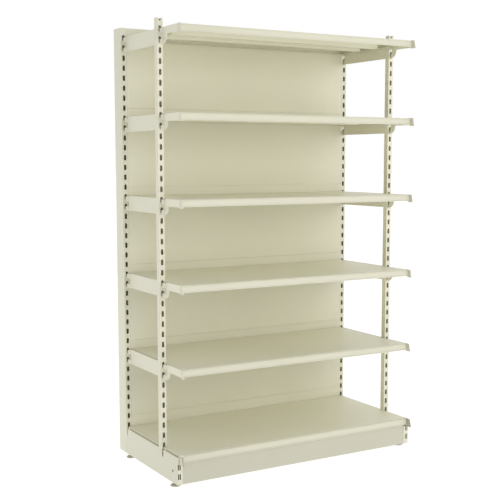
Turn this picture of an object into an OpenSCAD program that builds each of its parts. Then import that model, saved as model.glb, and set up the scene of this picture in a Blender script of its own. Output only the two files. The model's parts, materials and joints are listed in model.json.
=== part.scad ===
// Gondola shelving unit: one free-standing bay with five hook-on shelves and a base deck.
// Frame: origin on the floor under the middle of the unit, +X to the right as seen
// from the front, -Y to the front, +Z up. Millimetres.

/* [Frame] */
// Distance between the slot columns of the left and right uprights
bay_w = 1366; // [1000:1:1400]
// Width of every upright's slotted face
upright_w = 30; // [26:1:40]
// Depth of a rear upright
rear_d = 90; // [60:1:100]
// Depth of a front upright
front_d = 30; // [26:1:40]
// Wall thickness of the uprights
upright_t = 2; // [1.5:0.25:2.5]
// Length of a rear upright
upright_len = 2200; // [2150:50:2400]
// Rear upright's slotted face to front upright's slotted face
face_gap = 431; // [400:1:460]

/* [Slots] */
// Distance from one slot to the next
pitch = 50; // [50:1:51]
// Height of one slot
slot_h = 28; // [25:1:29]
// Width of one slot
slot_w = 13; // [9:0.5:13]

/* [Shelves] */
// Number of hook slots between one shelf and the next
shelf_step = 8; // [8:1:8]
// Shelf top above the middle of its upper hook slot
top_over_slot = 6; // [4:1:7]
// Outer width of a shelf
shelf_w = 1353; // [1340:1:1357]
// Rear upright's face to the front end of a shelf's rail caps
shelf_d = 643; // [620:1:680]
// Height of the side lips of a shelf's front part and of the base deck
lip_h = 36; // [30:1:38]
// Height of a shelf's side and rear lips behind the front uprights
low_lip_h = 20; // [16:1:24]
// Sheet thickness of shelves, panels and the kick plate
sheet_t = 1.2; // [0.8:0.1:1.5]
// Height of a price rail
rail_h = 31; // [28:1:34]
// Height of the caps that close a price rail
cap_h = 41; // [36:1:44]
// How much further forward a rail's lower edge is than its upper edge
rail_lean = 7; // [4:1:10]

/* [Brackets] */
// Height of side arms and nose brackets
arm_h = 76; // [72:1:80]
// Plate thickness of side arms and nose brackets
arm_t = 3; // [2.5:0.5:4]
// Front upright's face to the front of a nose bracket
nose_len = 57; // [54:1:60]
// Radius of a nose bracket's lower front corner
nose_r = 36; // [20:1:36]

/* [Base] */
// Base deck's top above the floor
deck_z = 162; // [158:1:166]
// Outer width of the base deck
deck_w = 1372; // [1364:1:1376]
// Rear upright's face to the front end of the base rail caps
deck_d = 652; // [640:1:670]
// Rear upright's face to the front of a base leg
leg_d = 608; // [590:1:612]
// Height of a base leg
leg_h = 134; // [130:1:136]
// Plate thickness of a base leg
leg_t = 2; // [1.5:0.25:3]

/* [Feet] */
// Height of the frame's lower edge above the floor
foot_h = 20; // [16:1:30]
// Diameter of a foot's pad
pad_d = 48; // [40:1:60]
// Thread diameter of a foot's stem
stem_d = 10; // [8:1:12]

/* [Hidden] */
$fn = 48;
SIDES = ["left", "right"];
SHELVES = [1 : 5];
ENDS = ["front", "rear"];

PAINT = [0.87, 0.85, 0.77];
PAINT_DIM = [0.82, 0.8, 0.71];
ZINC = [0.72, 0.73, 0.74];
CAP_PLASTIC = [0.84, 0.82, 0.74];
PAD_PLASTIC = [0.62, 0.61, 0.53];

// places of the main faces
col_x = bay_w / 2;                      // slot column
out_x = col_x + upright_w / 2;          // outer face of the uprights
in_x = col_x - upright_w / 2;           // inner face of the uprights
unit_d = rear_d + deck_d;               // whole depth
back_y = unit_d / 2;                    // rear side of the rear uprights
face_y = back_y - rear_d;               // slotted face of the rear uprights
nose_y = face_y - face_gap;             // slotted face of the front uprights
top_z = foot_h + upright_len;           // top of the uprights
n_slots = floor(upright_len / pitch);   // slots up an upright, the last one cut by its end
leg_top = foot_h + leg_h;
eps = 0.01;

// shelves
first_slot = n_slots - 1;               // the slot that holds the top shelf
function slot_z(i) = foot_h + pitch * i;
function shelf_z(k) = slot_z(first_slot - shelf_step * (k - 1)) + top_over_slot;
shelf_back = face_y - 4;                // rear edge of shelves and deck
cap_len = 34;                           // how far a rail cap reaches from front to rear
cap_t = 3;                              // wall of a rail cap
hem = 14;                               // inward return along a lip's lower edge
notch_gap = 3;                          // room around a front upright

// hooks of arms and brackets
hook_neck = 15;                         // height of a hook where it passes the slot
hook_reach = 7;                         // how far a hook reaches behind the slotted wall
hook_drop = 8;                          // how far a hook's nose hangs down
hook_gap = 0.3;                         // play on both sides of the slotted wall
hook_x = col_x - arm_t / 2;             // inner side of the hooks
plate_x0 = shelf_w / 2 - sheet_t - 0.3 - arm_t; // inner side of the bracket plates
crank_len = 19;                         // cranked run between a plate and the slotted face
crank_end = 6;                          // straight end of that run
tab_w = 15;                             // how far a support tab reaches inward
tab_len = 24;

// bolts
bolt_d = 6;
bolt_head_d = 11;
bolt_head_h = 3.3;
leg_bolt_d = 8;
foot_x = col_x - 3;
foot_in = 18;                           // rear foot's axis ahead of the rear upright's face
foot_out = 548;                         // front foot's axis ahead of the rear upright's face
fit_gap = 0.05;                         // radial play of a stem in its nut
nut_h = 10;
nut_af = 17;                            // across flats

// back panels
panel_h = 400;
panel_gap = 0.6;
panel_back = 15;                        // depth of a panel's folded edges
n_panels = 6;

function side_of(s) = s == "left" ? -1 : 1;
function foot_y(e) = e == "front" ? face_y - foot_out : face_y - foot_in;

// a block given by its lowest and highest corners
module block(a, b) {
    translate(a) cube(b - a);
}

// puts a part made for the right side on the named side
module on_side(s) {
    if (s == "left") mirror([1, 0, 0]) children();
    else children();
}

// turns an outline drawn in (y, z) into a plate between two x values
module plate_x(x0, x1) {
    translate([x0, 0, 0]) rotate([90, 0, 90]) linear_extrude(x1 - x0) children();
}

// one slot's outline, round at both ends
module slot_shape(w, h) {
    square([w, h - w], center = true);
    for (s = [-1, 1]) translate([0, s * (h - w) / 2]) circle(d = w);
}

// a column of slots through a wall whose front is at y
module slot_column(y, first, last) {
    translate([col_x, y + upright_t + 1, 0]) rotate([90, 0, 0])
        linear_extrude(upright_t + 2)
            for (i = [first : last]) translate([0, slot_z(i)]) slot_shape(slot_w, slot_h);
}

// square tube with open ends, standing on z0
module tube(x0, x1, y0, y1, z0, z1, t) {
    difference() {
        block([x0, y0, z0], [x1, y1, z1]);
        block([x0 + t, y0 + t, z0 - 1], [x1 - t, y1 - t, z1 + 1]);
    }
}

cap_top_t = 4;
module rear_upright() {
    color(PAINT) difference() {
        tube(in_x, out_x, face_y, back_y, foot_h, top_z - cap_top_t, upright_t);
        slot_column(face_y, 1, n_slots - 1);
        // bolt holes for the base leg
        for (z = leg_bolt_zs()) translate([leg_bolt_x(), face_y - 1, z])
            rotate([-90, 0, 0]) cylinder(d = leg_bolt_d + 0.4, h = upright_t + 2);
        // screw holes for the cross rails
        for (z = rail_screw_zs()) translate([in_x - 1, rail_screw_y(), z])
            rotate([0, 90, 0]) cylinder(d = bolt_d + 0.4, h = upright_t + 2);
    }
}

module upright_cap() {
    spigot = 14;
    color(CAP_PLASTIC) {
        block([in_x, face_y, top_z - cap_top_t], [out_x, back_y, top_z]);
        difference() {
            block([in_x + upright_t + 0.2, face_y + upright_t + 0.2, top_z - cap_top_t - spigot],
                  [out_x - upright_t - 0.2, back_y - upright_t - 0.2, top_z - cap_top_t + eps]);
            block([in_x + upright_t + 2, face_y + upright_t + 2, top_z - cap_top_t - spigot - 1],
                  [out_x - upright_t - 2, back_y - upright_t - 2, top_z - cap_top_t]);
        }
    }
}

module upright_caps() {
    for (s = SIDES) on_side(s) upright_cap();
}

// the front upright stands on the base leg and its upper end cuts the last slot
module front_upright() {
    first = ceil((leg_top - foot_h + slot_h / 2) / pitch);
    color(PAINT) difference() {
        tube(in_x, out_x, nose_y, nose_y + front_d, leg_top, top_z, upright_t);
        slot_column(nose_y, first, n_slots);
        for (k = SHELVES, z = arm_bolt_zs(k)) translate([arm_bolt_x(), nose_y + front_d + 1, z])
            rotate([90, 0, 0]) cylinder(d = bolt_d + 0.4, h = upright_t + 2);
    }
}

function leg_bolt_x() = col_x - 7.5;
function leg_bolt_zs() = [foot_h + 25, foot_h + 75];
leg_front = face_y - leg_d;
leg_face_top = foot_h + leg_h - 37;     // top of the wide part of the leg's front flange
kick_slot = [6, 29];
kick_slot_zs = [foot_h + 39.5, foot_h + 86];
kick_slot_xs = [col_x, col_x + 9];
top_flange = 8;
inner_web = leg_d - face_gap + 60;      // length of the thin web on the leg's inner side

// folded base leg: outer web, inward flanges, two spigot plates for the front upright
module base_leg() {
    color(PAINT_DIM) difference() {
        union() {
            block([out_x - leg_t, leg_front, foot_h], [out_x, face_y, leg_top]);
            block([in_x, leg_front, foot_h], [out_x, face_y, foot_h + leg_t]);
            block([in_x, leg_front, foot_h], [out_x, leg_front + leg_t, leg_face_top]);
            block([deck_w / 2 + 1, leg_front, leg_face_top - eps],
                  [out_x, leg_front + leg_t, leg_top]);
            // inner web behind the slots of the front flange, higher at the front upright
            block([in_x, leg_front, foot_h], [in_x + sheet_t, leg_front + inner_web, leg_face_top]);
            block([in_x, nose_y, foot_h], [in_x + sheet_t, leg_front + inner_web, leg_top - 9]);
            block([in_x, face_y - leg_t, foot_h], [out_x, face_y, leg_top]);
            block([out_x - top_flange, leg_front, leg_top - leg_t], [out_x, face_y, leg_top]);
            // seat and spigot plates of the front upright
            block([in_x, nose_y, leg_top - leg_t], [out_x, nose_y + front_d, leg_top]);
            for (x = [in_x + upright_t + 0.25, out_x - upright_t - 2.25])
                block([x, nose_y + upright_t + 0.25, foot_h],
                      [x + 2, nose_y + front_d - upright_t - 0.25, leg_top + spigot_h]);
            // ledges that carry the base deck
            for (y = deck_ledge_ys()) block(
                [deck_w / 2 - hem, y - ledge_len / 2, deck_z - lip_h - ledge_t],
                [out_x - leg_t + eps, y + ledge_len / 2, deck_z - lip_h]);
        }
        // relief cuts ahead of the uprights' slots and a slit beside the rear upright
        for (y = [face_y - 12, nose_y - 14])
            block([out_x - top_flange - 1, y - 7, leg_top - 34], [out_x + 1, y + 6, leg_top + 1]);
        block([out_x - leg_t - 1, face_y - 5, foot_h + 15], [out_x + 1, face_y - 3, foot_h + 50]);
        // slots for kick plate hooks
        for (x = kick_slot_xs, z = kick_slot_zs) translate([x, leg_front + leg_t + 1, z])
            rotate([90, 0, 0]) linear_extrude(leg_t + 2)
                slot_shape(kick_slot[0], kick_slot[1]);
        // access hole for the front foot's nut
        translate([out_x - leg_t - 1, leg_front + 50, foot_h + 58.5]) rotate([0, 90, 0])
            cylinder(d = 13, h = leg_t + 2);
        for (e = ENDS) translate([foot_x, foot_y(e), foot_h - 1])
            cylinder(d = stem_d + 1, h = leg_t + 2);
        for (z = leg_bolt_zs()) translate([leg_bolt_x(), face_y + 1, z])
            rotate([90, 0, 0]) cylinder(d = leg_bolt_d + 0.4, h = leg_t + 2);
    }
}
spigot_h = 60;
ledge_len = 40;
ledge_t = 2;
function deck_ledge_ys() = [face_y - 70, face_y - 330, face_y - 520];

// Sheet-metal tray with its top at z = 0: deck, front lip, rear lip and stiffeners
module tray(half, front_y, front_half, back_h) {
    front_h = lip_h - 6;
    mid = (front_y + shelf_back) / 2;
    block([-half, front_y, -sheet_t], [half, shelf_back, 0]);
    block([-front_half, front_y, -front_h], [front_half, front_y + sheet_t, 0]);
    block([-front_half, front_y, -front_h], [front_half, front_y + hem, -front_h + sheet_t]);
    block([-half, shelf_back - sheet_t, -back_h], [half, shelf_back, 0]);
    block([-half, shelf_back - hem, -back_h], [half, shelf_back, -back_h + sheet_t]);
    for (d = [-1, 1]) stiffener(mid + d * hat_pitch / 2, hat_len);
}

// side lip with its hem, the outer face at x
module side_lip(x, y0, y1, h) {
    block([x - sheet_t, y0, -h], [x, y1, 0]);
    block([x - hem, y0, -h], [x, y1, -h + sheet_t]);
}

hat_len = 1220;
hat_pitch = 154;
hat_w = 48;
hat_h = 24;
hat_foot = 12;
module stiffener(y, len) {
    translate([-len / 2, y, 0]) rotate([90, 0, 90]) linear_extrude(len) polygon([
        [-hat_w / 2 - hat_foot, -sheet_t], [-hat_w / 2, -sheet_t], [-hat_w / 2 + 4, -hat_h],
        [hat_w / 2 - 4, -hat_h], [hat_w / 2, -sheet_t], [hat_w / 2 + hat_foot, -sheet_t],
        [hat_w / 2 + hat_foot, -2 * sheet_t], [hat_w / 2 + sheet_t, -2 * sheet_t],
        [hat_w / 2 - 4 + sheet_t, -hat_h - sheet_t], [-hat_w / 2 + 4 - sheet_t, -hat_h - sheet_t],
        [-hat_w / 2 - sheet_t, -2 * sheet_t], [-hat_w / 2 - hat_foot, -2 * sheet_t]
    ]);
    // end tabs, folded up short of the tray
    for (x = [-len / 2, len / 2 - sheet_t]) block(
        [x, y - hat_w / 2 + 6, -hat_h - sheet_t], [x + sheet_t, y + hat_w / 2 - 6, -sheet_t - 1.5]);
}

// A shelf is wide ahead of the front uprights and narrow behind their faces.
shelf_front = face_y - shelf_d + cap_len;
wing_back = nose_y - 39;
module shelf(k) {
    half = shelf_w / 2;
    inner = in_x - notch_gap;
    color(PAINT) translate([0, 0, shelf_z(k)]) {
        tray(inner, shelf_front, half - tongue_room, low_lip_h);
        for (s = SIDES) on_side(s) {
            side_lip(inner, wing_back, shelf_back, low_lip_h);
            block([inner - eps, shelf_front, -sheet_t], [half, wing_back, 0]);
            block([half - sheet_t, shelf_front, -lip_h], [half, wing_back, 0]);
        }
    }
}

deck_front = leg_front;
module base_deck() {
    color(PAINT_DIM) translate([0, 0, deck_z]) difference() {
        union() {
            tray(deck_w / 2, deck_front, in_x, lip_h);
            for (s = SIDES) on_side(s) {
                side_lip(deck_w / 2, deck_front, shelf_back, lip_h);
                // ear that covers the base rail's cap
                plate_x(deck_w / 2 - sheet_t, deck_w / 2) polygon([
                    [deck_front + eps, 0], [deck_front + eps, -base_cap_h],
                    [deck_front - 33, -base_cap_h], [deck_front - 16, 0]
                ]);
            }
        }
        for (s = SIDES) on_side(s)
            block([in_x - notch_gap, nose_y - notch_gap, -lip_h - 1],
                  [deck_w / 2 + 1, nose_y + front_d + notch_gap, 1]);
    }
}

// Price rail: a leaning channel with a groove along its top and bottom edges. It stands
// off the tray's front lip on one rib. y is that lip's face, z the tray's top.
rail_t = 1.6;
rail_groove = 3;
rail_drop = 3;
rail_stand = 2;
rail_rib = [8, 10];
module rail(w, y, z) {
    function at(d, v) = [-rail_stand - d - rail_lean * v / rail_h, -v];
    translate([-w / 2, y, z - rail_drop]) rotate([90, 0, 90]) linear_extrude(w) polygon([
        at(0, 0), at(rail_t + rail_groove, 0), at(rail_t + rail_groove, 3.5),
        at(rail_t + rail_groove - 1, 3.5), at(rail_t + rail_groove - 1, 1.2),
        at(rail_t, 1.2), at(rail_t, rail_h - 1.2),
        at(rail_t + rail_groove - 1, rail_h - 1.2), at(rail_t + rail_groove - 1, rail_h - 3.5),
        at(rail_t + rail_groove, rail_h - 3.5), at(rail_t + rail_groove, rail_h),
        at(0, rail_h), at(0, rail_rib[1]), [0, -rail_rib[1]], [0, -rail_rib[0]],
        at(0, rail_rib[0])
    ]);
}

module price_rail(k) {
    color(PAINT) rail(shelf_w - 2 * cap_t - 0.6, shelf_front, shelf_z(k));
}

module base_price_rail() {
    color(PAINT) rail(2 * (base_cap_x - cap_t - 0.3), deck_front, deck_z);
}

// end plate of a rail, its front edge leaning with the rail, and the tongue, as far
// out as tongue_x, that plugs it in beside the tray's front lip
tongue_room = 8;
tongue_len = 14;
module rail_cap(half, tongue_x, front, back, z, h, lean) {
    plate_x(half - cap_t, half) translate([0, z]) polygon([
        [back, 0], [back, -h], [front, -h], [front + lean, 0]
    ]);
    block([half - cap_t, back - 6, z - lip_h + 8], [tongue_x, back + tongue_len, z - 6]);
}

module rail_caps(k) {
    half = shelf_w / 2;
    color(CAP_PLASTIC) for (s = SIDES) on_side(s)
        rail_cap(half, half - sheet_t - 0.1, face_y - shelf_d, shelf_front, shelf_z(k), cap_h, 9);
}

base_cap_h = cap_h + 2;
base_cap_x = deck_w / 2 - sheet_t - 0.1;
module base_rail_caps() {
    color(CAP_PLASTIC) for (s = SIDES) on_side(s)
        rail_cap(base_cap_x, base_cap_x, face_y - deck_d, deck_front, deck_z, base_cap_h, 12);
}

kick_clear = 1;
kick_flange = 14;
kick_top = deck_z - rail_drop - rail_h - 2;
kick_y = leg_front + 1;
module kick_plate() {
    half = in_x - kick_clear;
    color(PAINT_DIM) {
        block([-half, kick_y, foot_h + 0.5], [half, kick_y + sheet_t, kick_top]);
        block([-half, kick_y, foot_h + 0.5], [half, kick_y + kick_flange, foot_h + 0.5 + sheet_t]);
        for (s = SIDES) on_side(s)
            block([half - sheet_t, kick_y, foot_h + 0.5], [half, kick_y + kick_flange, kick_top]);
    }
}

// back panel i, counted from the floor; the first one is half as tall
function panel_z(i) = top_z - panel_h * (n_panels - i + 1);
module back_panel(i) {
    z0 = max(panel_z(i), foot_h + ledge_t);
    z1 = panel_z(i + 1) - panel_gap;
    half = in_x - 0.5;
    color(PAINT) {
        block([-half, face_y, z0], [half, face_y + sheet_t, z1]);
        for (z = [z0, z1 - sheet_t])
            block([-half, face_y, z], [half, face_y + panel_back, z + sheet_t]);
        for (s = SIDES) on_side(s)
            block([half - sheet_t, face_y, z0], [half, face_y + panel_back, z1]);
    }
}

// cross rail: a channel with end plates screwed to the rear uprights
rail_end_t = 3;
cross_h = 60;
cross_d = 40;
cross_y = face_y + panel_back + 2;
cross_zs = [foot_h, top_z - 120];
function rail_screw_y() = cross_y + cross_d / 2;
function rail_screw_zs() = [for (z = cross_zs, o = [15, cross_h - 15]) z + o];
module cross_rail(z) {
    color(PAINT_DIM) difference() {
        union() {
            // the lower rail's bottom reaches forward under the panels
            if (z == foot_h) block([-in_x, face_y, z], [in_x, cross_y + eps, z + ledge_t]);
            block([-in_x, cross_y, z], [in_x, cross_y + 2, z + cross_h]);
            block([-in_x, cross_y, z], [in_x, cross_y + cross_d, z + 2]);
            block([-in_x, cross_y, z + cross_h - 2], [in_x, cross_y + cross_d, z + cross_h]);
            for (s = SIDES) on_side(s)
                block([in_x - rail_end_t, cross_y, z], [in_x, cross_y + cross_d, z + cross_h]);
        }
        for (s = SIDES, o = [15, cross_h - 15]) on_side(s)
            translate([in_x - rail_end_t - 1, rail_screw_y(), z + o]) rotate([0, 90, 0])
                cylinder(d = bolt_d + 0.4, h = rail_end_t + 2);
    }
}

// Hook with its cranked run: it starts at a bracket's plate, runs out to the slots and
// passes the slot whose middle is at z in the wall at wall_y; its nose hangs behind the wall.
module hook(wall_y, z) {
    neck_z = z - slot_h / 2 + 0.4;
    start = wall_y - crank_len;
    end = wall_y - hook_gap;
    translate([0, 0, neck_z - hook_drop]) linear_extrude(hook_drop + hook_neck) polygon([
        [plate_x0, start - 2], [plate_x0 + arm_t, start - 2], [plate_x0 + arm_t, start],
        [hook_x + arm_t, wall_y - crank_end], [hook_x + arm_t, end], [hook_x, end],
        [hook_x, wall_y - crank_end], [plate_x0, start]
    ]);
    block([hook_x, end - eps, neck_z],
          [hook_x + arm_t, wall_y + upright_t + hook_reach, neck_z + hook_neck]);
    block([hook_x, wall_y + upright_t + hook_gap, neck_z - hook_drop],
          [hook_x + arm_t, wall_y + upright_t + hook_reach, neck_z + eps]);
}

// inward tab on which a shelf's hem rests
module support_tab(y, z) {
    block([plate_x0 - tab_w, y - tab_len / 2, z - arm_t],
          [plate_x0 + eps, y + tab_len / 2, z]);
}

function arm_bolt_x() = col_x + 5;
function arm_bolt_zs(k) = [shelf_z(k) - 20, shelf_z(k) - 56];
module side_arm(k) {
    z = shelf_z(k);
    y0 = nose_y + front_d;
    y1 = face_y - crank_len;
    color(PAINT) difference() {
        union() {
            block([plate_x0, y0, z - arm_h], [plate_x0 + arm_t, y1, z]);
            block([plate_x0, y0, z - arm_h], [out_x, y0 + arm_t, z]);
            for (d = [0, pitch]) hook(face_y, z - top_over_slot - d);
            for (y = [y1 - 60, y0 + 60]) support_tab(y, z - low_lip_h);
        }
        for (b = arm_bolt_zs(k)) translate([arm_bolt_x(), y0 - 1, b]) rotate([-90, 0, 0])
            cylinder(d = bolt_d + 0.4, h = arm_t + 2);
    }
}

module nose_bracket(k) {
    z = shelf_z(k) - sheet_t;
    bottom = shelf_z(k) - arm_h;
    y0 = nose_y - nose_len;
    y1 = nose_y - crank_len;
    difference() {
        block([plate_x0, y0, bottom], [plate_x0 + arm_t, y1, z]);
        difference() {
            block([plate_x0 - 1, y0 - 1, bottom - 1],
                  [plate_x0 + arm_t + 1, y0 + nose_r, bottom + nose_r]);
            translate([plate_x0 - 2, y0 + nose_r, bottom + nose_r]) rotate([0, 90, 0])
                cylinder(r = nose_r, h = arm_t + 4);
        }
    }
    for (d = [0, pitch]) hook(nose_y, shelf_z(k) - top_over_slot - d);
}

module nose_brackets(k) {
    color(PAINT) for (s = SIDES) on_side(s) nose_bracket(k);
}

// levelling foot: flared pad with a socket for the stem
pad_h = 7;
pad_neck_d = 20;
pad_neck_h = 12;
module foot_pad(e) {
    color(PAD_PLASTIC) translate([foot_x, foot_y(e), 0]) rotate_extrude() polygon([
        [0, 0], [pad_d / 2 - 1, 0], [pad_d / 2, 1], [pad_d / 2, pad_h - 3],
        [pad_d / 2 - 4, pad_h], [pad_neck_d / 2, pad_h + 1], [pad_neck_d / 2 - 1, pad_neck_h],
        [stem_d / 2 + fit_gap, pad_neck_h], [stem_d / 2 + fit_gap, 4], [0, 4]
    ]);
}

stem_len = 70;
module foot_stem(e) {
    color(ZINC) translate([foot_x, foot_y(e), 4]) cylinder(d = stem_d, h = stem_len);
}

module foot_nuts() {
    color(ZINC) for (s = SIDES, e = ENDS) on_side(s)
        translate([foot_x, foot_y(e), foot_h + leg_t]) difference() {
            cylinder(d = nut_af / cos(30), h = nut_h, $fn = 6);
            translate([0, 0, -1]) cylinder(d = stem_d + 2 * fit_gap, h = nut_h + 2);
        }
}

// domed bolt along +Y with its head's underside at y = 0
module bolt(d, head_d, head_h, len) {
    rotate([-90, 0, 0]) cylinder(d = d, h = len);
    rotate([90, 0, 0]) intersection() {
        cylinder(d = head_d, h = head_h);
        translate([0, 0, head_h - head_d]) sphere(r = head_d);
    }
}

// bolts that hold the arms to the rear side of the front uprights
module arm_bolts() {
    color(ZINC) for (s = SIDES, k = SHELVES, z = arm_bolt_zs(k)) on_side(s)
        translate([arm_bolt_x(), nose_y + front_d + arm_t, z]) rotate([0, 0, 180])
            bolt(bolt_d, bolt_head_d, bolt_head_h, arm_t + upright_t + 5);
}

// leg bolts and cross rail screws
module frame_screws() {
    color(ZINC) for (s = SIDES) on_side(s) {
        for (z = leg_bolt_zs()) translate([leg_bolt_x(), face_y - leg_t, z])
            bolt(leg_bolt_d, 15, 4.5, leg_t + upright_t + 8);
        for (z = rail_screw_zs()) translate([in_x - rail_end_t, rail_screw_y(), z])
            rotate([0, 0, -90]) bolt(bolt_d, bolt_head_d, bolt_head_h,
                                     rail_end_t + upright_t + 5);
    }
}

for (s = SIDES) {
    on_side(s) rear_upright();
    on_side(s) front_upright();
    on_side(s) base_leg();
    for (k = SHELVES)
        on_side(s) side_arm(k);
    for (e = ENDS) {
        on_side(s) foot_pad(e);
        on_side(s) foot_stem(e);
    }
}
for (k = SHELVES) {
    shelf(k);
    price_rail(k);
    rail_caps(k);
    nose_brackets(k);
}
for (i = [1 : n_panels])
    back_panel(i);
upright_caps();
base_deck();
base_price_rail();
base_rail_caps();
kick_plate();
cross_rail(cross_zs[0]);  // cross_rail_lower
cross_rail(cross_zs[1]);  // cross_rail_upper
foot_nuts();
arm_bolts();
frame_screws();
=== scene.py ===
# Gondola shelving unit: materials, small hardware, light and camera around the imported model.
# Metres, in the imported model's frame: +X right, -Y to the front, +Z up, floor at z = 0.
import json
import math

import bmesh
import bpy
from mathutils import Matrix, Vector


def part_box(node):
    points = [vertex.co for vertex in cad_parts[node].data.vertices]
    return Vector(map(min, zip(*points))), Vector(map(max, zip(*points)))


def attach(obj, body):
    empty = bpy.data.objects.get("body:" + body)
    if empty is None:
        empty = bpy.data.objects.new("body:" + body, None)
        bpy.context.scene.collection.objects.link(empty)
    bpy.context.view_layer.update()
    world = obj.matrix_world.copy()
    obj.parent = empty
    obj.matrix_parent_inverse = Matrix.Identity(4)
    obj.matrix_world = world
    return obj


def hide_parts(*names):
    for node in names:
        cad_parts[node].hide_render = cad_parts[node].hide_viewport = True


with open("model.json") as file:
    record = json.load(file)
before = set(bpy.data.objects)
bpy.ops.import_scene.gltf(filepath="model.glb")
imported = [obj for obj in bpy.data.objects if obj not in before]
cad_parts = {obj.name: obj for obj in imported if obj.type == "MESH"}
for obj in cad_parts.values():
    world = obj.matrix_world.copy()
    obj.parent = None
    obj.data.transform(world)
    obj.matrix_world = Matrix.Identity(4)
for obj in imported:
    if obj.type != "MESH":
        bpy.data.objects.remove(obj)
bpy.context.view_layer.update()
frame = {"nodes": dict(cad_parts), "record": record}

SIDES = ("left", "right")
ENDS = ("front", "rear")
SHELVES = range(1, 6)
CROSS_RAILS = ("cross_rail_lower", "cross_rail_upper")


# ---------------------------------------------------------------- camera

CAMERA_PLACE = (-2.6986, -4.4433, 1.5678)
CAMERA_YAW = 30.503  # degrees from +Y towards +X
CAMERA_PITCH = 6.42  # degrees below the horizon
CAMERA_LENS = 71.25
CAMERA_SHIFT = (-0.0089, 0.0388)


def make_camera():
    data = bpy.data.cameras.new("camera")
    data.lens = CAMERA_LENS
    data.sensor_width = 36
    data.shift_x, data.shift_y = CAMERA_SHIFT
    data.clip_end = 100
    camera = bpy.data.objects.new("camera", data)
    camera.location = CAMERA_PLACE
    camera.rotation_euler = (
        math.radians(90 - CAMERA_PITCH),
        0,
        math.radians(-CAMERA_YAW),
    )
    bpy.context.scene.collection.objects.link(camera)
    bpy.context.scene.camera = camera


# ---------------------------------------------------------------- node helpers


class Graph:
    """A material's node tree with short calls to add nodes and join sockets."""

    def __init__(self, name):
        self.material = bpy.data.materials.new(name)
        self.material.use_nodes = True
        self.tree = self.material.node_tree
        self.shader = self.tree.nodes["Principled BSDF"]
        self.place = self.add("ShaderNodeTexCoord").outputs["Object"]

    def add(self, kind, **values):
        node = self.tree.nodes.new(kind)
        for key, value in values.items():
            setattr(node, key, value)
        return node

    def join(self, source, target):
        self.tree.links.new(source, target)

    def noise(self, scale, detail=2.0, roughness=0.5, stretch=None):
        """Noise over the object's own coordinates, from 0 to 1."""
        node = self.add("ShaderNodeTexNoise")
        node.inputs["Scale"].default_value = scale
        node.inputs["Detail"].default_value = detail
        node.inputs["Roughness"].default_value = roughness
        source = self.place
        if stretch:
            mapping = self.add("ShaderNodeMapping")
            mapping.inputs["Scale"].default_value = stretch
            self.join(self.place, mapping.inputs["Vector"])
            source = mapping.outputs["Vector"]
        self.join(source, node.inputs["Vector"])
        return node.outputs["Fac"]

    def ranged(self, source, low, high, to_low=0.0, to_high=1.0):
        """source from low..high to to_low..to_high, clamped."""
        node = self.add("ShaderNodeMapRange")
        self.join(source, node.inputs["Value"])
        for key, value in (
            ("From Min", low),
            ("From Max", high),
            ("To Min", to_low),
            ("To Max", to_high),
        ):
            node.inputs[key].default_value = value
        return node.outputs["Result"]

    def maths(self, operation, a, b):
        node = self.add("ShaderNodeMath", operation=operation)
        for socket, value in zip(node.inputs, (a, b)):
            if isinstance(value, (int, float)):
                socket.default_value = value
            else:
                self.join(value, socket)
        return node.outputs["Value"]

    def mixed(self, factor, first, second):
        """Colour between first and second; each is a colour or a socket."""
        node = self.add("ShaderNodeMix", data_type="RGBA")
        self.join(factor, node.inputs["Factor"])
        for socket, value in ((node.inputs[6], first), (node.inputs[7], second)):
            if isinstance(value, tuple):
                socket.default_value = (*value, 1.0)
            else:
                self.join(value, socket)
        return node.outputs[2]

    def bump(self, *layers):
        """Stacks bumps: each layer is (height socket, depth in metres)."""
        normal = None
        for height, depth in layers:
            node = self.add("ShaderNodeBump")
            node.inputs["Strength"].default_value = 1.0
            node.inputs["Distance"].default_value = depth
            self.join(height, node.inputs["Height"])
            if normal:
                self.join(normal, node.inputs["Normal"])
            normal = node.outputs["Normal"]
        self.join(normal, self.shader.inputs["Normal"])

    def edges(self, radius):
        """1 along sharp edges within radius, 0 on flat faces."""
        bevel = self.add("ShaderNodeBevel", samples=4)
        bevel.inputs["Radius"].default_value = radius
        plain = self.add("ShaderNodeNewGeometry")
        dot = self.add("ShaderNodeVectorMath", operation="DOT_PRODUCT")
        self.join(bevel.outputs["Normal"], dot.inputs[0])
        self.join(plain.outputs["Normal"], dot.inputs[1])
        return self.ranged(dot.outputs["Value"], 0.995, 0.8)


def tinted(colour, factor):
    return tuple(min(1.0, channel * factor) for channel in colour)


# ---------------------------------------------------------------- materials


def powder_coat(name, colour, roughness=0.42):
    """Sprayed and baked paint on steel sheet: orange peel, slight cloudiness, edges rubbed."""
    g = Graph(name)
    cloud = g.ranged(g.noise(2.2, detail=3), 0.3, 0.7)
    body = g.mixed(cloud, tinted(colour, 0.975), tinted(colour, 1.02))
    speck = g.ranged(g.noise(900, detail=1), 0.62, 0.8, 0, 0.10)
    body = g.mixed(speck, body, tinted(colour, 0.8))
    rubbed = g.maths(
        "MULTIPLY", g.edges(0.0012), g.ranged(g.noise(40, detail=4), 0.5, 0.72, 0, 0.35)
    )
    body = g.mixed(rubbed, body, tuple(0.82 * c**1.15 for c in colour))
    g.join(body, g.shader.inputs["Base Color"])
    sheen = g.ranged(g.noise(9, detail=4), 0.3, 0.7, roughness - 0.05, roughness + 0.06)
    g.join(sheen, g.shader.inputs["Roughness"])
    g.shader.inputs["Specular IOR Level"].default_value = 0.22
    g.bump((g.noise(14, detail=1), 0.0004), (g.noise(520, detail=2), 0.00005))
    return g.material


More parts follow.
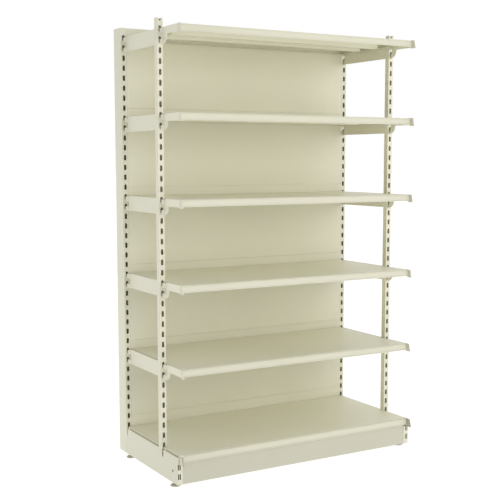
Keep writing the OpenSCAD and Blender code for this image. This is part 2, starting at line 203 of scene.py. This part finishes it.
def moulded(name, colour, roughness=0.5):
    """Injection-moulded plastic with a fine spark-eroded grain."""
    g = Graph(name)
    body = g.mixed(
        g.ranged(g.noise(60, detail=3), 0.3, 0.7),
        tinted(colour, 0.95),
        tinted(colour, 1.03),
    )
    rubbed = g.maths(
        "MULTIPLY", g.edges(0.0008), g.ranged(g.noise(90, detail=3), 0.4, 0.7, 0, 0.5)
    )
    g.join(g.mixed(rubbed, body, tinted(colour, 1.12)), g.shader.inputs["Base Color"])
    g.join(
        g.ranged(g.noise(200), 0.2, 0.8, roughness - 0.06, roughness + 0.08),
        g.shader.inputs["Roughness"],
    )
    g.bump((g.noise(2600, detail=1), 0.00003))
    return g.material


def zinc(name, colour=(0.56, 0.57, 0.58)):
    """Bright zinc plate: faint blotches and fine scratches round the part."""
    g = Graph(name)
    body = g.mixed(
        g.ranged(g.noise(120, detail=4), 0.35, 0.7),
        tinted(colour, 0.8),
        tinted(colour, 1.1),
    )
    stain = g.ranged(g.noise(35, detail=5), 0.6, 0.75, 0, 0.35)
    g.join(g.mixed(stain, body, (0.5, 0.46, 0.36)), g.shader.inputs["Base Color"])
    g.shader.inputs["Metallic"].default_value = 1.0
    g.join(
        g.ranged(g.noise(300, detail=3), 0.2, 0.8, 0.28, 0.5),
        g.shader.inputs["Roughness"],
    )
    g.bump((g.noise(1500, stretch=(1, 1, 0.2)), 0.00002))
    return g.material


CREAM = (0.772, 0.754, 0.608)
MATERIALS = {
    "frame_paint": powder_coat("frame_paint", CREAM),
    "shelf_paint": powder_coat("shelf_paint", CREAM),
    "base_paint": powder_coat("base_paint", tinted(CREAM, 0.96)),
    "cap_plastic": moulded("cap_plastic", tinted(CREAM, 0.94)),
    "pad_plastic": moulded("pad_plastic", (0.50, 0.49, 0.38)),
    "zinc_steel": zinc("zinc_steel"),
}
# kick plate: the cream darkened as painted shade, for the shade under the base price rail
KICK_PAINTED_SHADE = powder_coat("kick_painted_shade", tinted(CREAM, 0.76))
# price rails: the cream darkened slightly as painted shade, so their front faces take less light
# than the rest
RAIL_PAINTED_SHADE = powder_coat("rail_painted_shade", tinted(CREAM, 0.95))
# shelf trays and base deck: the cream lightened as painted light, for the light on the shelf tops
TRAY_PAINTED_LIGHT = powder_coat("tray_painted_light", tinted(CREAM, 1.05))
# base rail caps: the plastic darkened strongly as painted shade, for the shade on the caps' inner
# faces
BASE_CAP_PAINTED_SHADE = moulded("base_cap_painted_shade", tinted(CREAM, 0.62))

# ---------------------------------------------------------------- CAD nodes

NODE_SLOT = {
    part["node"]: part["material_slot"] for part in frame["record"]["subparts"]
}
# nodes that take a shaded or lit copy of the paint or plastic (painted shade or painted light)
# instead of their slot's material
OWN_MATERIAL = {
    "base_deck": TRAY_PAINTED_LIGHT,
    **{f"shelf_{k}": TRAY_PAINTED_LIGHT for k in SHELVES},
    "kick_plate": KICK_PAINTED_SHADE,
    "base_rail_caps": BASE_CAP_PAINTED_SHADE,
    "base_price_rail": RAIL_PAINTED_SHADE,
    **{f"price_rail_{k}": RAIL_PAINTED_SHADE for k in SHELVES},
}
EDGE_RADIUS = {
    "frame_paint": 0.0005,
    "shelf_paint": 0.0004,
    "base_paint": 0.0004,
    "cap_plastic": 0.0006,
    "pad_plastic": 0.0006,
    "zinc_steel": 0.0004,
}


def finish_node(node, obj):
    """Gives a CAD node its material and softens its edges."""
    slot = NODE_SLOT[node]
    obj.data.materials.clear()
    obj.data.materials.append(OWN_MATERIAL.get(node, MATERIALS[slot]))
    weld = obj.modifiers.new("weld", "WELD")
    weld.merge_threshold = 0.00001
    bevel = obj.modifiers.new("edge", "BEVEL")
    bevel.width = EDGE_RADIUS[slot]
    bevel.segments = 2
    bevel.limit_method = "ANGLE"
    bevel.angle_limit = math.radians(40)
    bevel.use_clamp_overlap = True


# ---------------------------------------------------------------- turned hardware


def turned(bm, profile, place, segments=48):
    """Adds a closed turned shape along place's Z axis.

    profile runs from end to end as (radius, height, corners): corners is 0 on a round
    section and 6 on a hexagonal one, whose radius is half its width across flats.
    """
    rings = []
    for radius, height, corners in profile:
        if radius == 0:
            rings.append([bm.verts.new(place @ Vector((0, 0, height)))] * segments)
            continue
        ring = []
        for i in range(segments):
            angle = 2 * math.pi * i / segments
            reach = radius
            if corners:
                half = math.pi / corners
                reach = radius / math.cos((angle + half) % (2 * half) - half)
            ring.append(
                bm.verts.new(
                    place @ Vector((reach * math.cos(angle), reach * math.sin(angle), height))
                )
            )
        rings.append(ring)
    for low, high in zip(rings, rings[1:]):
        for i in range(segments):
            j = (i + 1) % segments
            corners = []
            for vert in (low[i], low[j], high[j], high[i]):
                if vert not in corners:
                    corners.append(vert)
            bm.faces.new(corners)


def finish_piece(bm, name, body, slot, nodes=()):
    """Turns a bmesh into a piece that rides on a body and stands for the CAD nodes."""
    bmesh.ops.recalc_face_normals(bm, faces=bm.faces)
    mesh = bpy.data.meshes.new(name)
    bm.to_mesh(mesh)
    bm.free()
    mesh.shade_smooth()
    mesh.set_sharp_from_angle(angle=math.radians(35))
    mesh.materials.append(MATERIALS[slot])
    piece = bpy.data.objects.new(name, mesh)
    bpy.context.scene.collection.objects.link(piece)
    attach(piece, body)
    if nodes:
        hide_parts(*nodes)


def aimed(place, direction):
    """A matrix at place whose Z axis points along direction."""
    turn = Vector(direction).to_track_quat("Z", "Y").to_matrix().to_4x4()
    return Matrix.Translation(Vector(place)) @ turn


def button_bolt(bm, place, radius, head, height, length):
    """Button-head socket bolt on a washer; the washer's underside is at place."""
    washer = 0.28 * height
    dome = []
    for i in range(9):
        angle = math.radians(90 * i / 8)
        dome.append(
            (
                head * (0.45 + 0.47 * math.cos(angle)),
                washer + (height - washer) * (0.12 + 0.88 * math.sin(angle)),
                0,
            )
        )
    thread = []
    turns = int(length / (0.3 * radius))
    for i in range(turns):
        foot = -length + 0.3 * radius * (i + 0.3)
        thread += [(radius * 0.88, foot, 0), (radius, foot + 0.15 * radius, 0)]
    socket = 0.32 * head
    turned(
        bm,
        [(0, -length, 0), (radius * 0.8, -length, 0)]
        + thread
        + [(radius, 0, 0), (head * 0.97, 0, 0), (head, 0.1 * washer, 0)]
        + [(head, 0.9 * washer, 0), (head * 0.97, washer, 0), (head * 0.92, washer, 0)]
        + dome
        + [(socket * 1.12, height, 6), (socket, height - 0.0002, 6)]
        + [(socket, 0.45 * height, 6), (0, 0.3 * height, 0)],
        place,
    )


# radius, head radius, head height and length below the head
M6 = (0.003, 0.0055, 0.0033, 0.010)
M8 = (0.004, 0.0075, 0.0045, 0.012)
ARM_BOLT_X = 0.688
ARM_BOLT_DROPS = (0.020, 0.056)  # below the arm's upper edge
ARM_FLANGE = 0.003
LEG_BOLT_X = 0.6755
LEG_BOLT_RISES = (0.025, 0.075)  # above the leg's lower edge
LEG_FLANGE = 0.002
RAIL_END_X = 0.665
RAIL_SCREW_RISES = (0.015, 0.045)  # above the rail's lower edge
RAIL_SCREW_IN = 0.020  # from the rail's rear side


def bolt_places():
    """Bolts as (place, direction, size): the arm bolts, then the leg bolts and rail screws."""
    arms, frame_bolts = [], []
    for side, sign in zip(SIDES, (-1, 1)):
        for k in SHELVES:
            low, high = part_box(f"side_arm_{k}_{side}")
            for drop in ARM_BOLT_DROPS:
                place = (sign * ARM_BOLT_X, low[1] + ARM_FLANGE, high[2] - drop)
                arms.append((place, (0, 1, 0), M6))
        low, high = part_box(f"base_leg_{side}")
        for rise in LEG_BOLT_RISES:
            place = (sign * LEG_BOLT_X, high[1] - LEG_FLANGE, low[2] + rise)
            frame_bolts.append((place, (0, -1, 0), M8))
        for rail in CROSS_RAILS:
            low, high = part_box(rail)
            for rise in RAIL_SCREW_RISES:
                place = (sign * RAIL_END_X, high[1] - RAIL_SCREW_IN, low[2] + rise)
                frame_bolts.append((place, (-sign, 0, 0), M6))
    return arms, frame_bolts


def make_bolts():
    for node, bolts in zip(("arm_bolts", "frame_screws"), bolt_places()):
        bm = bmesh.new()
        for place, direction, size in bolts:
            button_bolt(bm, aimed(place, direction), *size)
        finish_piece(bm, f"{node}_detail", "frame", "zinc_steel", [node])


STEM_LEAD = 0.0015
STEM_THREAD = 0.0007
STEM_CHAMFER = 0.001
# the rim and the socket in a stem's upper end: radius and depth below the end
STEM_SOCKET = ((0.0034, 0), (0.0028, 0), (0.0028, 0.004))


def threaded_stem(bm, low, high, segments=32):
    """Levelling stem with a helical thread and a socket in its upper end."""
    x = (low[0] + high[0]) / 2
    y = (low[1] + high[1]) / 2
    radius = (high[0] - low[0]) / 2

    def ring_at(z, reaches):
        ring = []
        for i, reach in enumerate(reaches):
            angle = 2 * math.pi * i / segments
            place = (x + reach * math.cos(angle), y + reach * math.sin(angle), z)
            ring.append(bm.verts.new(place))
        return ring

    def skin(below, above):
        for i in range(segments):
            j = (i + 1) % segments
            bm.faces.new((below[i], below[j], above[j], above[i]))

    step = STEM_LEAD / 4
    steps = int((high[2] - low[2] - 2 * STEM_CHAMFER) / step)
    rings = []
    for row in range(steps + 1):
        z = low[2] + STEM_CHAMFER + row * step
        if row in (0, steps):
            reaches = [radius - STEM_THREAD] * segments
        else:
            waves = [abs(((z / STEM_LEAD - i / segments) % 1) * 2 - 1) for i in range(segments)]
            reaches = [radius - STEM_THREAD * wave for wave in waves]
        rings.append(ring_at(z, reaches))
    for below, above in zip(rings, rings[1:]):
        skin(below, above)
    bm.faces.new(list(reversed(rings[0])))
    top = rings[-1]
    for reach, depth in STEM_SOCKET:
        ring = ring_at(high[2] - depth, [reach] * segments)
        skin(top, ring)
        top = ring
    bm.faces.new(top)


def make_stems():
    for end in ENDS:
        for side in SIDES:
            node = f"foot_stem_{end}_{side}"
            bm = bmesh.new()
            threaded_stem(bm, *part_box(node))
            name = f"stem_thread_{end}_{side}"
            finish_piece(bm, name, f"stem_{end}_{side}", "zinc_steel", [node])


# a weld mark as a turned profile: radius, height, round
SPOT = (
    (0.0036, 0, 0),
    (0.0030, 0.0002, 0),
    (0.0022, 0.00025, 0),
    (0.0016, 0.0001, 0),
    (0, 0.00005, 0),
)
SPOT_PITCH = 0.098
STIFFENER_YS = (-0.077, 0.077)  # about the tray's middle
FOOT_YS = (-0.030, 0.030)  # about a stiffener's middle
FOOT_SKIN = 0.0024  # from a tray's upper side to the underside of a stiffener's foot
SHELF_HALF_DEPTH = 0.3025
DECK_HALF_DEPTH = 0.302


def make_spot_welds(name, node, body, slot, half_depth):
    """Rows of spot welds along the feet of a tray's two stiffeners, on the underside."""
    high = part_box(node)[1]
    middle = high[1] - half_depth
    bm = bmesh.new()
    for stiffener in STIFFENER_YS:
        for foot in FOOT_YS:
            for i in range(-6, 7):
                spot = (SPOT_PITCH * i, middle + stiffener + foot, high[2] - FOOT_SKIN)
                turned(bm, SPOT, aimed(spot, (0, 0, -1)), segments=16)
    finish_piece(bm, name, body, slot)


# ---------------------------------------------------------------- light and floor


def area_light(name, place, target, size, power):
    data = bpy.data.lights.new(name, "AREA")
    data.shape = "RECTANGLE"
    data.size, data.size_y = size
    data.energy = power
    light = bpy.data.objects.new(name, data)
    light.location = place
    aim = Vector(target) - Vector(place)
    light.rotation_euler = aim.to_track_quat("-Z", "Y").to_euler()
    bpy.context.scene.collection.objects.link(light)


def make_world():
    """A white studio, softer in front of the unit and softest on its left."""
    world = bpy.data.worlds.new("studio")
    world.use_nodes = True
    tree = world.node_tree
    background = tree.nodes["Background"]
    direction = tree.nodes.new("ShaderNodeTexCoord").outputs["Generated"]
    behind = tree.nodes.new("ShaderNodeVectorMath")
    behind.operation = "DOT_PRODUCT"
    behind.inputs[1].default_value = (0.62, 0.78, 0)
    shade = tree.nodes.new("ShaderNodeMapRange")
    for key, value in (("From Min", -0.5), ("From Max", 0.6), ("To Min", 0.42), ("To Max", 1)):
        shade.inputs[key].default_value = value
    tree.links.new(direction, behind.inputs[0])
    tree.links.new(behind.outputs["Value"], shade.inputs["Value"])
    tree.links.new(shade.outputs["Result"], background.inputs["Strength"])
    background.inputs["Color"].default_value = (1, 1, 1, 1)
    bpy.context.scene.world = world
    bpy.context.scene.view_settings.view_transform = "Standard"


FLOOR_HALF = 90.0


def make_floor():
    mesh = bpy.data.meshes.new("floor")
    corners = [(x * FLOOR_HALF, y * FLOOR_HALF, 0) for x, y in ((-1, -1), (1, -1), (1, 1), (-1, 1))]
    mesh.from_pydata(corners, [], [(0, 1, 2, 3)])
    floor = bpy.data.objects.new("floor", mesh)
    g = Graph("floor")
    g.join(
        g.mixed(g.ranged(g.noise(0.8), 0.3, 0.7), (0.28, 0.28, 0.278), (0.3, 0.3, 0.298)),
        g.shader.inputs["Base Color"],
    )
    g.shader.inputs["Roughness"].default_value = 0.9
    g.shader.inputs["Emission Color"].default_value = (1, 1, 1, 1)
    g.shader.inputs["Emission Strength"].default_value = 0.84
    mesh.materials.append(g.material)
    bpy.context.scene.collection.objects.link(floor)


def make_lights():
    area_light("key", (2.8, -4.4, 2.8), (0.1, 0, 1.0), (3.0, 3.0), 38)
    area_light("front", (0.4, -5.8, 2.6), (0, 0, 0.7), (2.4, 1.8), 72)
    area_light("low_left", (-3.2, 0.2, 0.4), (-0.7, 0.1, 0.3), (1.2, 0.6), 6)


make_camera()
for node, obj in frame["nodes"].items():
    finish_node(node, obj)
make_bolts()
make_stems()
for k in SHELVES:
    make_spot_welds(
        f"spot_welds_{k}", f"shelf_{k}", f"shelf_{k}_tray", "shelf_paint", SHELF_HALF_DEPTH
    )
make_spot_welds("spot_welds_deck", "base_deck", "deck", "base_paint", DECK_HALF_DEPTH)
make_world()
make_floor()
make_lights()
